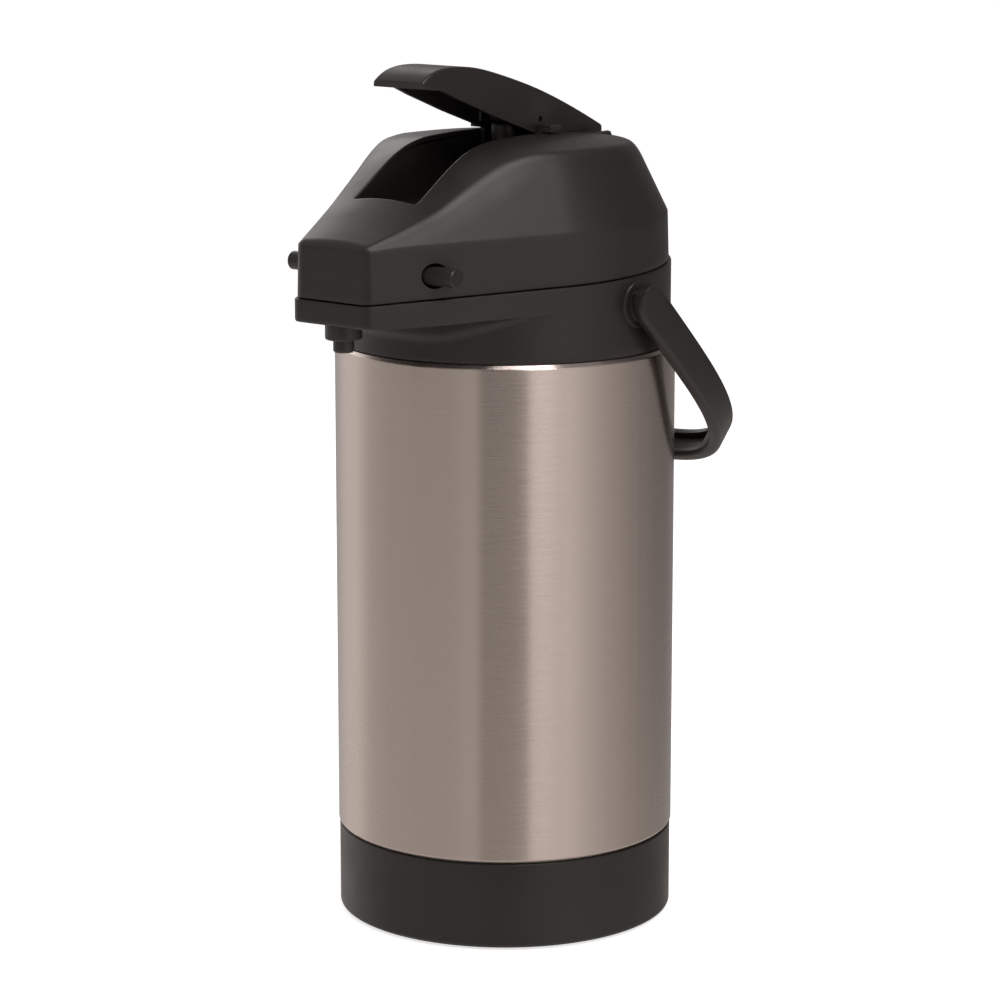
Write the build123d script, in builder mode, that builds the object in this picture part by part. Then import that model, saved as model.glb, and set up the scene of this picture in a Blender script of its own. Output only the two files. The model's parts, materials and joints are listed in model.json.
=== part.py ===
from build123d import *
from math import acos, atan2, cos, degrees, hypot, radians, sin
import os

# Lever-type thermal airpot.  Millimetres, +Z up.  The origin is the centre of the face that it stands on,
# the spout points to -Y, and the handle hangs behind the body on the +Y side.

# --- driving dimensions: vessel -------------------------------------------------------------------
body_r = 82.5
sheet = 0.8
base_top = 43.0
shell_top = 283.0
roll = 1.6
neck_r = 43.0
neck_top = 303.0
liner_r = 72.0
liner_floor = 50.0
mouth_r = 39.7

# --- driving dimensions: base and turntable -------------------------------------------------------
base_r = 82.0
base_wall = 2.6
base_lift = 1.2
base_floor = 10.0
disc_r = 74.0
foot_height = 2.5
screw_circle = 50.0

# --- driving dimensions: collar and nose ----------------------------------------------------------
collar_r = 80.6
nose_front = 125.0
nose_half = 22.5
nose_floor = 303.8
cove_depth = 12.3
collar_wall = 3.0
seam_z = 320.5
seam_slope = 0.048
seam_gap = 0.5

# --- driving dimensions: lid ----------------------------------------------------------------------
lid_inset = 0.7
lid_wall = 2.4
crease_z = 344.6
crease_slope = 0.035
facet_angle = 25.6
draft_angle = 1.6
skirt_depth = 34.0
dome_height = 48.0
well_half = 19.0
well_front = -86.7
well_back = 57.5
well_floor = 354.0
hinge_y = 86.0
hinge_z = 324.6
knuckle_r = 4.2
hinge_pin_r = 2.0
blank_half = 84.0
LID_SCREWS = [(52, 38), (-52, 38), (46, -44), (-46, -44)]
# Roof sections: (distance behind the axis, height at the middle, crown radius across).
ROOF_STATIONS = [
    (-140, 335.6, 240), (-122, 342.2, 220), (-104, 350.1, 150), (-86, 359.9, 116), (-70, 370.6, 96),
    (-58, 377.8, 100), (-48, 381.1, 150), (-36, 382.6, 240), (-10, 384.2, 380), (30, 384.6, 420), (90, 381.5, 420),
]

# --- driving dimensions: lever and pump -----------------------------------------------------------
lever_half = 15.5
lever_wall = 2.2
pivot_y = 46.0
pivot_z = 377.0
lever_pin_r = 2.5
pusher_r = 5.0
plunger_r = 6.5
plunger_top = 388.0
bellows_low = 320.5
bellows_high = 348.0
bellows_r = 49.0

# --- driving dimensions: delivery path ------------------------------------------------------------
tube_r = 4.0
tube_bore = 3.2
siphon_y = -33.0
delivery_z = 310.9
spout_y = -115.5

# --- driving dimensions: handle -------------------------------------------------------------------
handle_y = 2.0
handle_z = 307.5
handle_drop = 43.5
bail_half = 90.0
bail_depth = 127.0
bail_thick = 6.8
bail_width = 19.4
bail_end_width = 16.2
bail_power = 3.8
handle_pin_r = 3.0

# --- driving dimensions: release buttons ----------------------------------------------------------
button_y = -94.6
button_z = 327.0
button_end = 51.0
button_r = 4.4

running = 0.05
sliding = 0.02
WALL_NORMAL = degrees(atan2(-nose_front, nose_half) + acos(collar_r / hypot(nose_front, nose_half)))


# --- helpers that add to, or cut, the sub-part block they are called in ---------------------------
def turn(points, mode=Mode.ADD):
    """Revolve a closed (radius, height) outline about the vertical axis."""
    with BuildSketch(Plane.XZ) as outline:
        with BuildLine():
            Polyline(*points, close=True)
        make_face()
    revolve(outline.sketch, axis=Axis.Z, mode=mode)


def drum(radius, low, high, at=(0, 0), mode=Mode.ADD):
    """Upright cylinder between two heights."""
    with BuildSketch(Plane.XY.offset(low)) as disc:
        with Locations(at):
            Circle(radius)
    extrude(disc.sketch, amount=high - low, mode=mode)


def ring(outer, inner, low, high, at=(0, 0)):
    """Upright ring between two heights."""
    with BuildSketch(Plane.XY.offset(low)) as annulus:
        with Locations(at):
            Circle(outer)
            Circle(inner, mode=Mode.SUBTRACT)
    extrude(annulus.sketch, amount=high - low)


def rod(radius, start_x, end_x, y, z, mode=Mode.ADD):
    """Cylinder along X."""
    with BuildSketch(Plane.YZ.offset(start_x)) as disc:
        with Locations((y, z)):
            Circle(radius)
    extrude(disc.sketch, amount=end_x - start_x, mode=mode)


def side_plate(points, start_x, end_x, mode=Mode.ADD):
    """Plate whose (y, z) outline is extruded along X."""
    with BuildSketch(Plane.YZ.offset(start_x)) as outline:
        with BuildLine():
            Polyline(*points, close=True)
        make_face()
    extrude(outline.sketch, amount=end_x - start_x, mode=mode)


def slab(x, y, z, mode=Mode.ADD):
    """Box from three (low, high) pairs."""
    with BuildSketch(Plane.XY.offset(z[0])) as base:
        with Locations(((x[0] + x[1]) / 2, (y[0] + y[1]) / 2)):
            Rectangle(x[1] - x[0], y[1] - y[0])
    extrude(base.sketch, amount=z[1] - z[0], mode=mode)


def nose_outline(inset):
    """Plan outline of the head: a round back whose tangents run forward to a flat nose."""
    radius = collar_r - inset
    front = nose_front - inset
    tangent_x = radius * cos(radians(WALL_NORMAL))
    tangent_y = radius * sin(radians(WALL_NORMAL))
    corner_x = (radius + front * sin(radians(WALL_NORMAL))) / cos(radians(WALL_NORMAL))
    with BuildSketch() as outline:
        with BuildLine():
            ThreePointArc((tangent_x, tangent_y), (0, radius), (-tangent_x, tangent_y))
            Line((-tangent_x, tangent_y), (-corner_x, -front))
            Line((-corner_x, -front), (corner_x, -front))
            Line((corner_x, -front), (tangent_x, tangent_y))
        make_face()
    return outline.sketch


def sloping(z, slope):
    """Plane that rises to the back by the given slope."""
    return Plane(origin=(0, 0, z), x_dir=(1, 0, 0), z_dir=(0, -slope, 1))


# --- vessel ---------------------------------------------------------------------------------------
def make_outer_shell():
    inside = body_r - sheet
    with BuildPart() as outer_shell:
        turn([
            (body_r - roll, base_top + 0.2), (body_r, base_top + 0.2 + roll), (body_r, shell_top - roll),
            (body_r - roll, shell_top), (50, shell_top), (neck_r, shell_top + 7), (neck_r, neck_top),
            (neck_r - sheet, neck_top), (neck_r - sheet, shell_top + 6.6), (49.7, shell_top - sheet),
            (body_r - roll - 0.3, shell_top - sheet), (inside, shell_top - roll - 0.3),
            (inside, base_top + roll + 0.5), (body_r - roll - 0.3, base_top + 1),
        ])
        fillet(outer_shell.edges().filter_by(GeomType.CIRCLE).filter_by(
            lambda edge: edge.radius == body_r), roll * 0.6)
    return outer_shell.part


def make_inner_liner():
    inside = liner_r - sheet
    outline = [
        (0, liner_floor), (64, liner_floor), (liner_r, liner_floor + 8), (liner_r, 255), (60, 272),
        (mouth_r + sheet, 279), (mouth_r + sheet, neck_top), (neck_r, neck_top),
        (neck_r, neck_top + sheet), (mouth_r, neck_top + sheet), (mouth_r, 278.4), (59.6, 271.3),
        (inside, 254.7), (inside, liner_floor + 8.4), (63.6, liner_floor + sheet), (0, liner_floor + sheet),
    ]
    with BuildPart() as inner_liner:
        turn(outline)
    return inner_liner.part


def make_vacuum_bottom():
    with BuildPart() as vacuum_bottom:
        drum(body_r - sheet - 0.05, 45.2, 46)
        with BuildSketch(Plane.XY.offset(32)):
            with PolarLocations(screw_circle, 3):
                Circle(5.5)
        extrude(amount=13.2)
        with BuildSketch(Plane.XY.offset(32)):
            with PolarLocations(screw_circle, 3):
                Circle(2.05)
        extrude(amount=11, mode=Mode.SUBTRACT)
    return vacuum_bottom.part


def make_evacuation_tip():
    with BuildPart() as evacuation_tip:
        turn([(0, 40), (2.2, 40), (4.5, 42.5), (4.5, 45), (0, 45)])
    return evacuation_tip.part


# --- base and turntable ---------------------------------------------------------------------------
def make_base_cup():
    inside = base_r - base_wall
    spigot = body_r - roll - 0.6
    with BuildPart() as base_cup:
        turn([
            (inside, base_lift), (base_r, base_lift), (base_r, base_top), (spigot, base_top),
            (spigot, 44.8), (spigot - 2.6, 44.8), (spigot - 2.6, 41), (inside, 38),
            (inside, base_floor + 2.6), (0, base_floor + 2.6), (0, base_floor), (inside, base_floor),
        ])
        with BuildSketch(Plane.XY.offset(base_floor + 2.6)):
            with PolarLocations(screw_circle, 3):
                Circle(6)
        extrude(amount=32 - base_floor - 2.6)
        with BuildSketch(Plane.XY.offset(base_floor)):
            with PolarLocations(screw_circle, 3):
                Circle(4.4)
        extrude(amount=3.2, mode=Mode.SUBTRACT)
        with BuildSketch(Plane.XY.offset(base_floor)):
            with PolarLocations(screw_circle, 3):
                Circle(2.1)
        extrude(amount=30, mode=Mode.SUBTRACT)
        drum(9, base_floor + 2.6, 24)
        drum(3.02, base_floor - 1, 22, mode=Mode.SUBTRACT)
        rim = base_cup.edges().filter_by(GeomType.CIRCLE).filter_by(lambda edge: edge.radius == base_r)
        fillet(rim.sort_by(Axis.Z)[0], 1.8)
        fillet(base_cup.edges().filter_by(GeomType.CIRCLE).filter_by(
            lambda edge: edge.radius == base_r).sort_by(Axis.Z)[-1], 0.7)
    return base_cup.part


def make_base_screws():
    with BuildPart() as base_screws:
        with BuildSketch(Plane.XY.offset(base_floor + 0.2)):
            with PolarLocations(screw_circle, 3):
                Circle(4)
        extrude(amount=3)
        with BuildSketch(Plane.XY.offset(base_floor + 3.2)):
            with PolarLocations(screw_circle, 3):
                Circle(2.0)
        extrude(amount=28)
    return base_screws.part


def make_swivel_disc():
    with BuildPart() as swivel_disc:
        turn([(4.08, 4), (9.6, 4), (9.6, foot_height), (disc_r, foot_height), (disc_r, 6), (4.08, 6)])
        chamfer(swivel_disc.edges().filter_by(GeomType.CIRCLE).filter_by(
            lambda edge: edge.radius == disc_r), 0.6)
    return swivel_disc.part


def make_foot_ring():
    with BuildPart() as foot_ring:
        ring(disc_r - 2, disc_r - 14, 0, foot_height)
        fillet(foot_ring.edges().filter_by(GeomType.CIRCLE).group_by(Axis.Z)[0], 0.8)
    return foot_ring.part


def make_slip_ring():
    with BuildPart() as slip_ring:
        ring(40, 30, 6.3, base_floor)
    return slip_ring.part


def make_swivel_screw():
    with BuildPart() as swivel_screw:
        turn([(0, 1.6), (8.8, 1.6), (8.8, 3.7), (4, 3.7), (4, base_floor), (3, base_floor), (3, 21), (0, 21)])
    return swivel_screw.part


# --- collar ---------------------------------------------------------------------------------------
def make_collar():
    inner_r = collar_r - collar_wall
    with BuildPart() as cove:
        with BuildSketch(Plane.XY.offset(nose_floor)):
            add(nose_outline(0))
        extrude(amount=-cove_depth, taper=50)
        turn([(0, nose_floor - cove_depth - 1), (82, nose_floor - cove_depth - 1),
              (109, nose_floor), (109, nose_floor + 1), (0, nose_floor + 1)], mode=Mode.INTERSECT)
    with BuildPart() as collar:
        with BuildSketch(Plane.XY.offset(nose_floor)):
            add(nose_outline(0))
        extrude(amount=28)
        fillet(collar.edges().filter_by(Axis.Z).group_by(Axis.Y)[0], 2.6)
        add(cove.part)
        drum(collar_r, shell_top + 0.2, nose_floor + 1)
        with BuildSketch(Plane.XY.offset(nose_floor + collar_wall)):
            add(nose_outline(collar_wall))
        extrude(amount=30, mode=Mode.SUBTRACT)
        drum(inner_r, shell_top + 3, nose_floor + 40, mode=Mode.SUBTRACT)
        drum(52, shell_top, shell_top + 5, mode=Mode.SUBTRACT)
        for side in (1, -1):
            rod(8, side * (inner_r - 2), side * 82.6, handle_y, handle_z)
            rod(11, side * 79.9, side * 81, handle_y, handle_z)
            slab(sorted((side * 33.5, side * 37.5)), (button_y - 2, button_y + 5), (312, 314.4))
            slab(sorted((side * 13, side * 21)), (78.6, hinge_y), (hinge_z - 9, hinge_z + 1))
            rod(knuckle_r, side * 13, side * 21, hinge_y, hinge_z)
        split(bisect_by=sloping(seam_z, seam_slope), keep=Keep.BOTTOM)
        for side in (1, -1):
            rod(knuckle_r, side * 13, side * 21, hinge_y, hinge_z)
            rod(handle_pin_r + sliding, side * 60, side * 90, handle_y, handle_z, mode=Mode.SUBTRACT)
        rod(hinge_pin_r + sliding, -30, 30, hinge_y, hinge_z, mode=Mode.SUBTRACT)
        drum(6.05, nose_floor - 5, nose_floor + 6, at=(0, spout_y), mode=Mode.SUBTRACT)
        drum(8.8, nose_floor - 8, nose_floor, at=(0, spout_y), mode=Mode.SUBTRACT)
    return collar.part


def make_neck_nut():
    with BuildPart() as neck_nut:
        turn([(neck_r + 0.1, 290.6), (neck_r + 0.1, 297), (52, 297), (52, 291), (60, 291), (60, 286.1),
              (51, 286.1), (51, 290.6)])
        with BuildSketch(Plane.XY.offset(285)):
            with PolarLocations(60, 12):
                Rectangle(3, 5)
        extrude(amount=8, mode=Mode.SUBTRACT)
    return neck_nut.part


def make_lid_hinge_pin():
    with BuildPart() as lid_hinge_pin:
        rod(hinge_pin_r, -21, 21, hinge_y, hinge_z)
    return lid_hinge_pin.part


# --- handle ---------------------------------------------------------------------------------------
def bail_curve(half, depth):
    """Squarish arch: points of a superellipse from one pivot to the other."""
    points = []
    for step in range(25):
        angle = radians(180 * step / 24)
        across = abs(cos(angle)) ** (2 / bail_power) * half
        along = round(sin(angle), 9) ** (2 / bail_power) * depth
        points.append((across if angle <= radians(90) else -across, along))
    return points


def make_handle():
    slope = radians(handle_drop)
    origin = (0, handle_y, handle_z)
    arch = Plane(origin=origin, x_dir=(1, 0, 0), z_dir=(0, sin(slope), cos(slope)))
    profile = Plane(origin=origin, x_dir=(0, cos(slope), -sin(slope)), z_dir=(1, 0, 0))
    inner_half = bail_half - bail_thick
    inner_depth = bail_depth - bail_thick
    with BuildPart() as hollow:
        with BuildSketch(arch.offset(-6.8)):
            with BuildLine():
                Spline(*bail_curve(inner_half + 3.6, inner_depth + 3.6))
                Line((-inner_half - 3.6, 0), (inner_half + 3.6, 0))
            make_face()
        extrude(amount=8.6)
        with BuildSketch(arch.offset(-20)):
            with Locations((0, inner_depth)):
                Rectangle(124, 60)
        extrude(amount=40, mode=Mode.INTERSECT)
    with BuildPart() as handle:
        with BuildSketch(arch):
            with BuildLine():
                Spline(*bail_curve(bail_half, bail_depth))
                Line((-bail_half, 0), (-inner_half, 0))
                Spline(*reversed(bail_curve(inner_half, inner_depth)))
                Line((inner_half, 0), (bail_half, 0))
            make_face()
            for side in (1, -1):
                with Locations((side * (bail_half - bail_thick / 2), -6)):
                    Rectangle(bail_thick, 12.4)
        extrude(amount=12, both=True)
        with BuildSketch(profile):
            Circle(bail_width / 2)
            with BuildLine():
                Polyline((0, bail_width / 2), (bail_depth + 3, bail_end_width / 2),
                         (bail_depth + 3, -bail_end_width / 2), (0, -bail_width / 2), close=True)
            make_face()
        extrude(amount=bail_half + 5, both=True, mode=Mode.INTERSECT)
        add(hollow.part, mode=Mode.SUBTRACT)
        for side in (1, -1):
            rod(handle_pin_r + running, side * 80, side * 88.2, handle_y, handle_z, mode=Mode.SUBTRACT)
    return handle.part


def make_handle_pins():
    with BuildPart() as handle_pins:
        for side in (1, -1):
            rod(handle_pin_r, side * 72, side * 88, handle_y, handle_z)
            rod(5, side * 72, side * 75.5, handle_y, handle_z)
    return handle_pins.part


# --- delivery path --------------------------------------------------------------------------------
def make_mouth_carrier():
    with BuildPart() as mouth_carrier:
        ring(46, 26, neck_top + 1.9, 315.8)
        ring(mouth_r - 0.6, 26, 294, neck_top + 1.9)
        drum(tube_r + running, 290, delivery_z + tube_bore + 0.6, at=(0, siphon_y), mode=Mode.SUBTRACT)
        with BuildSketch(Plane.XZ.offset(-siphon_y)):
            with Locations((0, delivery_z)):
                Circle(tube_bore)
        extrude(amount=30, mode=Mode.SUBTRACT)
        with BuildSketch(Plane.XZ.offset(41)):
            with Locations((0, delivery_z)):
                Circle(tube_r + running)
        extrude(amount=10, mode=Mode.SUBTRACT)
    return mouth_carrier.part


def make_carrier_seal():
    with BuildPart() as carrier_seal:
        ring(45, mouth_r, neck_top + sheet, neck_top + 1.9)
    return carrier_seal.part


def make_siphon_tube():
    with BuildPart() as siphon_tube:
        ring(tube_r, tube_bore, 57, 304, at=(0, siphon_y))
    return siphon_tube.part


def make_siphon_foot():
    with BuildPart() as siphon_foot:
        ring(tube_r + 1.6, tube_r, 57, 66, at=(0, siphon_y))
        ring(tube_r + 1.6, tube_bore, 54, 57, at=(0, siphon_y))
        slab((-8, 8), (siphon_y - 1.5, siphon_y + 1.5), (53, 56), mode=Mode.SUBTRACT)
        slab((-1.5, 1.5), (siphon_y - 8, siphon_y + 8), (53, 56), mode=Mode.SUBTRACT)
    return siphon_foot.part


def make_siphon_seal():
    with BuildPart() as siphon_seal:
        ring(tube_r + 1.8, tube_r, 291.4, 294, at=(0, siphon_y))
    return siphon_seal.part


def make_spill_ball():
    with BuildPart() as spill_ball:
        with Locations((0, siphon_y, 307.2)):
            Sphere(3.4)
        drum(1.2, 303, 304.5, at=(0, siphon_y), mode=Mode.SUBTRACT)
    return spill_ball.part


def make_delivery_tube():
    with BuildPart() as delivery_tube:
        with BuildLine():
            FilletPolyline((0, -41.2, delivery_z), (0, spout_y, delivery_z), (0, spout_y, 299), radius=5)
        with BuildSketch(Plane.XZ.offset(41.2)):
            with Locations((0, delivery_z)):
                Circle(tube_r)
                Circle(tube_bore, mode=Mode.SUBTRACT)
        sweep()
    return delivery_tube.part


def make_nozzle_collar():
    with BuildPart() as nozzle_collar:
        turn([(tube_r + running, 296.8), (8.0, 296.8), (8.6, 297.4), (8.6, nose_floor), (6, nose_floor),
              (6, nose_floor + 2), (tube_r + running, nose_floor + 2)])
    return nozzle_collar.part.moved(Location((0, spout_y, 0)))


def make_nozzle_tip():
    with BuildPart() as nozzle_tip:
        turn([(3.1, 290.8), (4.3, 290.8), (4.9, 291.6), (4.9, 296.8), (tube_r, 296.8), (tube_r, 298.8),
              (3.1, 298.8)])
    return nozzle_tip.part.moved(Location((0, spout_y, 0)))


# --- lid ------------------------------------------------------------------------------------------
def roof_blank(drop):
    """Everything under the crowned roof and deck, lowered by the given drop."""
    with BuildPart() as blank:
        for y, height, crown in ROOF_STATIONS:
            sag = blank_half * blank_half / (2 * crown)
            with BuildSketch(Plane.XZ.offset(-y)):
                with BuildLine():
                    ThreePointArc((-blank_half, height - sag - drop), (0, height - drop),
                                  (blank_half, height - sag - drop))
                    Polyline((blank_half, height - sag - drop), (blank_half, 300), (-blank_half, 300),
                             (-blank_half, height - sag - drop))
                make_face()
        loft()
    return blank.part


def lid_blank(inset):
    """Solid lid: drafted skirt below the crease, leaning facets above it, cut off by the crowned roof."""
    with BuildPart() as blank:
        with BuildSketch(sloping(crease_z, crease_slope)):
            add(nose_outline(lid_inset + 0.9 + inset))
        extrude(amount=dome_height, taper=facet_angle)
        with BuildSketch(sloping(crease_z, crease_slope)):
            add(nose_outline(lid_inset + 0.9 + inset))
        extrude(amount=-skirt_depth, taper=-draft_angle)
        add(roof_blank(inset), mode=Mode.INTERSECT)
    return blank.part


def make_lid_shell():
    with BuildPart() as bosses:
        for spot in LID_SCREWS:
            drum(4, 328.2, 380, at=spot)
        add(lid_blank(1), mode=Mode.INTERSECT)
        for spot in LID_SCREWS:
            drum(1.6, 328, 346, at=spot, mode=Mode.SUBTRACT)
    with BuildPart() as lid_shell:
        add(lid_blank(0))
        add(lid_blank(lid_wall), mode=Mode.SUBTRACT)
        split(bisect_by=sloping(seam_z + seam_gap, seam_slope), keep=Keep.TOP)
        slab((-well_half, well_half), (well_front, well_back), (345, 400), mode=Mode.SUBTRACT)
        for side in (1, -1):
            rod(button_r + 0.4, side * 28, side * 60, button_y, button_z, mode=Mode.SUBTRACT)
        rod(knuckle_r, -12.6, 12.6, hinge_y, hinge_z)
        slab((-12.6, 12.6), (77.4, hinge_y), (hinge_z + 0.6, hinge_z + knuckle_r))
        rod(hinge_pin_r + running, -30, 30, hinge_y, hinge_z, mode=Mode.SUBTRACT)
        add(bosses.part)
    return lid_shell.part


def make_lever_well():
    outer = [(well_front - 2.2, 342), (-56, well_floor - 2), (well_back + 2.2, well_floor - 2),
             (well_back + 2.2, 395), (well_front - 2.2, 395)]
    inner = [(well_front, 344.4), (-55.6, well_floor), (well_back, well_floor), (well_back, 396),
             (well_front, 396)]
    with BuildPart() as guides:
        for side in (1, -1):
            slab(sorted((side * 16.3, side * 25)), (4, 12), (378, 387.6))
        fillet(guides.edges().filter_by(Axis.Y).group_by(Axis.Z)[-1], 0.8)
        add(lid_blank(-0.02), mode=Mode.SUBTRACT)
        for side in (1, -1):
            slab(sorted((side * 16.3, side * (well_half - 0.1))), (4, 12), (370, 386))
            slab(sorted((side * 16.3, side * (well_half + 1))), (4, 12), (370, 379))
    with BuildPart() as lever_well:
        side_plate(outer, -well_half - 2.3, well_half + 2.3)
        side_plate(inner, -well_half - 0.05, well_half + 0.05, mode=Mode.SUBTRACT)
        add(lid_blank(lid_wall + running), mode=Mode.INTERSECT)
        drum(plunger_r + 2.2, well_floor - 2, well_floor + 5)
        drum(plunger_r + 0.1, well_floor - 6, well_floor + 9, mode=Mode.SUBTRACT)
        rod(lever_pin_r + sliding, -30, 30, pivot_y, pivot_z, mode=Mode.SUBTRACT)
        add(guides.part)
    return lever_well.part


def make_lid_floor():
    with BuildPart() as lid_floor:
        turn([(0, 318), (52, 318), (52, 325), (76.6, 325), (76.6, 328), (50, 328), (50, bellows_low),
              (0, bellows_low)])
        with BuildSketch(Plane.XY.offset(316)):
            with PolarLocations(5, 4):
                Circle(1.3)
        extrude(amount=8, mode=Mode.SUBTRACT)
        for spot in LID_SCREWS:
            drum(1.7, 320, 330, at=spot, mode=Mode.SUBTRACT)
    return lid_floor.part


def make_lid_screws():
    with BuildPart() as lid_screws:
        for spot in LID_SCREWS:
            drum(3.2, 322.8, 325, at=spot)
            drum(1.5, 325, 342, at=spot)
    return lid_screws.part


def make_mouth_gasket():
    with BuildPart() as mouth_gasket:
        ring(44, 36, 316, 318)
        fillet(mouth_gasket.edges().filter_by(GeomType.CIRCLE).group_by(Axis.Z)[0], 0.6)
    return mouth_gasket.part


def make_outlet_flap():
    with BuildPart() as outlet_flap:
        drum(8, 316.9, 318)
    return outlet_flap.part


def make_bellows():
    folds = 4
    step = (bellows_high - bellows_low) / (2 * folds)
    wall = [(bellows_r - (0 if fold % 2 else 5), bellows_low + fold * step) for fold in range(2 * folds + 1)]
    inside = [(radius - 1.4, height) for radius, height in reversed(wall)]
    with BuildPart() as bellows:
        turn(wall + inside)
    return bellows.part


def coil(radius, wire, pitch, height, start, direction):
    """Round-wire helical spring."""
    with BuildPart() as spring:
        with BuildLine() as path:
            Helix(pitch=pitch, height=height, radius=radius, center=start, direction=direction)
        with BuildSketch(Plane(origin=path.line @ 0, z_dir=path.line % 0)):
            Circle(wire)
        sweep(is_frenet=True)
    return spring.part


def make_return_spring():
    return coil(30, 0.9, 6, bellows_high - bellows_low - 2.4, (0, 0, bellows_low + 1.2), (0, 0, 1))


def make_plunger():
    with BuildPart() as plunger:
        turn([(0, bellows_high), (46, bellows_high), (46, bellows_high + 2.4), (12, bellows_high + 2.4),
              (plunger_r, bellows_high + 3.4), (plunger_r, plunger_top - 0.8), (plunger_r - 0.8, plunger_top),
              (0, plunger_top)])
        drum(4, bellows_high - 1, plunger_top - 4, mode=Mode.SUBTRACT)
        drum(1.5, plunger_top - 5, plunger_top + 1, mode=Mode.SUBTRACT)
    return plunger.part


def make_inlet_valve():
    with BuildPart() as inlet_valve:
        ring(7, 1.2, bellows_high - 1.3, bellows_high)
    return inlet_valve.part


# --- lever ----------------------------------------------------------------------------------------
def lever_side(drop, front, back):
    """Side outline of the lever between its crowned top, lowered by drop, and its straight lower edge."""
    with BuildSketch(Plane.YZ) as outline:
        with BuildLine():
            top = Spline((front, 412.6 - drop), (-70, 416.2 - drop), (-55, 418.4 - drop), (-38, 417.0 - drop),
                         (-20, 412.8 - drop), (6, 405 - drop), (29, 396.2 - drop), (back, 384.6 - drop))
            if drop:
                Polyline(top @ 1, (back, 360), (front, 360), top @ 0)
            else:
                Polyline(top @ 1, (back, 377), (46, 369), (39, 369.5), (3, 384), (-29, 394.8), (-54, 404.1),
                         (-63, 407.9), (front, 409.3), top @ 0)
        make_face()
    return outline.sketch


def make_lever():
    front = -76.5
    with BuildPart() as lever:
        extrude(lever_side(0, front, 55), amount=lever_half, both=True)
        fillet(lever.edges().filter_by(GeomType.BSPLINE), 1.6)
        extrude(lever_side(lever_wall, front + lever_wall, 35), amount=lever_half - lever_wall, both=True,
                mode=Mode.SUBTRACT)
        rod(9, -lever_half, lever_half, pivot_y, pivot_z)
        rod(6, -well_half + 0.5, well_half - 0.5, pivot_y, pivot_z)
        rod(pusher_r, -6, 6, 0, plunger_top + 0.3 + pusher_r)
        side_plate([(-1.5, 394), (1.5, 394), (1.5, 405), (-1.5, 406)], -lever_half + 1, lever_half - 1)
        rod(lever_pin_r + running, -30, 30, pivot_y, pivot_z, mode=Mode.SUBTRACT)
        rod(1.5, 10, 20, 8, 390, mode=Mode.SUBTRACT)
        slab((-20, -10), (-3.5, -1.7), (388, 393), mode=Mode.SUBTRACT)
    return lever.part


def make_lever_pin():
    with BuildPart() as lever_pin:
        rod(lever_pin_r, -well_half - 2.2, well_half + 2.2, pivot_y, pivot_z)
    return lever_pin.part


# --- release buttons ------------------------------------------------------------------------------
def release_button(side):
    with BuildPart() as button:
        rod(button_r, side * 29.5, side * button_end, button_y, button_z)
        chamfer(button.edges().filter_by(GeomType.CIRCLE).sort_by(Axis.X)[-1 if side > 0 else 0], 0.5)
        rod(6, side * 29.5, side * 31.3, button_y, button_z)
        slab(sorted((side * 29.5, side * 31.3)), (button_y - 2.4, button_y + 2.4), (307.8, 324))
        slab(sorted((side * 29.5, side * 33)), (button_y - 2.4, button_y + 2.4), (307.8, 310.6))
        rod(2.4, side * 28, side * 34, button_y, button_z, mode=Mode.SUBTRACT)
    return button.part


def make_release_button_right():
    return release_button(1)


def make_release_button_left():
    return release_button(-1)


def make_button_spring_right():
    return coil(3.4, 0.45, 2.2, 11.2, (17.6, button_y, button_z), (1, 0, 0))


def make_button_spring_left():
    return coil(3.4, 0.45, 2.2, 11.2, (-28.8, button_y, button_z), (1, 0, 0))


def make_latch_bracket():
    with BuildPart() as latch_bracket:
        slab((-4, 4), (-99, -91), (335, 370))
        add(lid_blank(lid_wall + running), mode=Mode.INTERSECT)
        slab((-17, 17), (-99, -90), (334, 336.5))
        for side in (1, -1):
            slab(sorted((side * 15, side * 17)), (-99, -90), (319, 336.5))
            rod(2.2, side * 16, side * 21, button_y, button_z)
    return latch_bracket.part


PIECES = [
    make_outer_shell, make_inner_liner, make_vacuum_bottom, make_evacuation_tip, make_base_cup,
    make_base_screws, make_swivel_disc, make_foot_ring, make_slip_ring, make_swivel_screw, make_collar,
    make_neck_nut, make_lid_hinge_pin, make_handle, make_handle_pins, make_mouth_carrier,
    make_carrier_seal, make_siphon_tube, make_siphon_foot, make_siphon_seal, make_spill_ball,
    make_delivery_tube, make_nozzle_collar, make_nozzle_tip, make_lid_shell, make_lever_well,
    make_lid_floor, make_lid_screws, make_mouth_gasket, make_outlet_flap, make_bellows,
    make_return_spring, make_plunger, make_inlet_valve, make_lever, make_lever_pin,
    make_release_button_right, make_release_button_left, make_button_spring_right,
    make_button_spring_left, make_latch_bracket,
]

os.makedirs("parts", exist_ok=True)
for make in PIECES:
    piece = make()
    piece.label = make.__name__.removeprefix("make_")
    export_step(piece, "parts/" + piece.label + ".step")
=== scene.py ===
import json
from math import acos, atan2, cos, hypot, pi, radians, sin, tan

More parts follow.
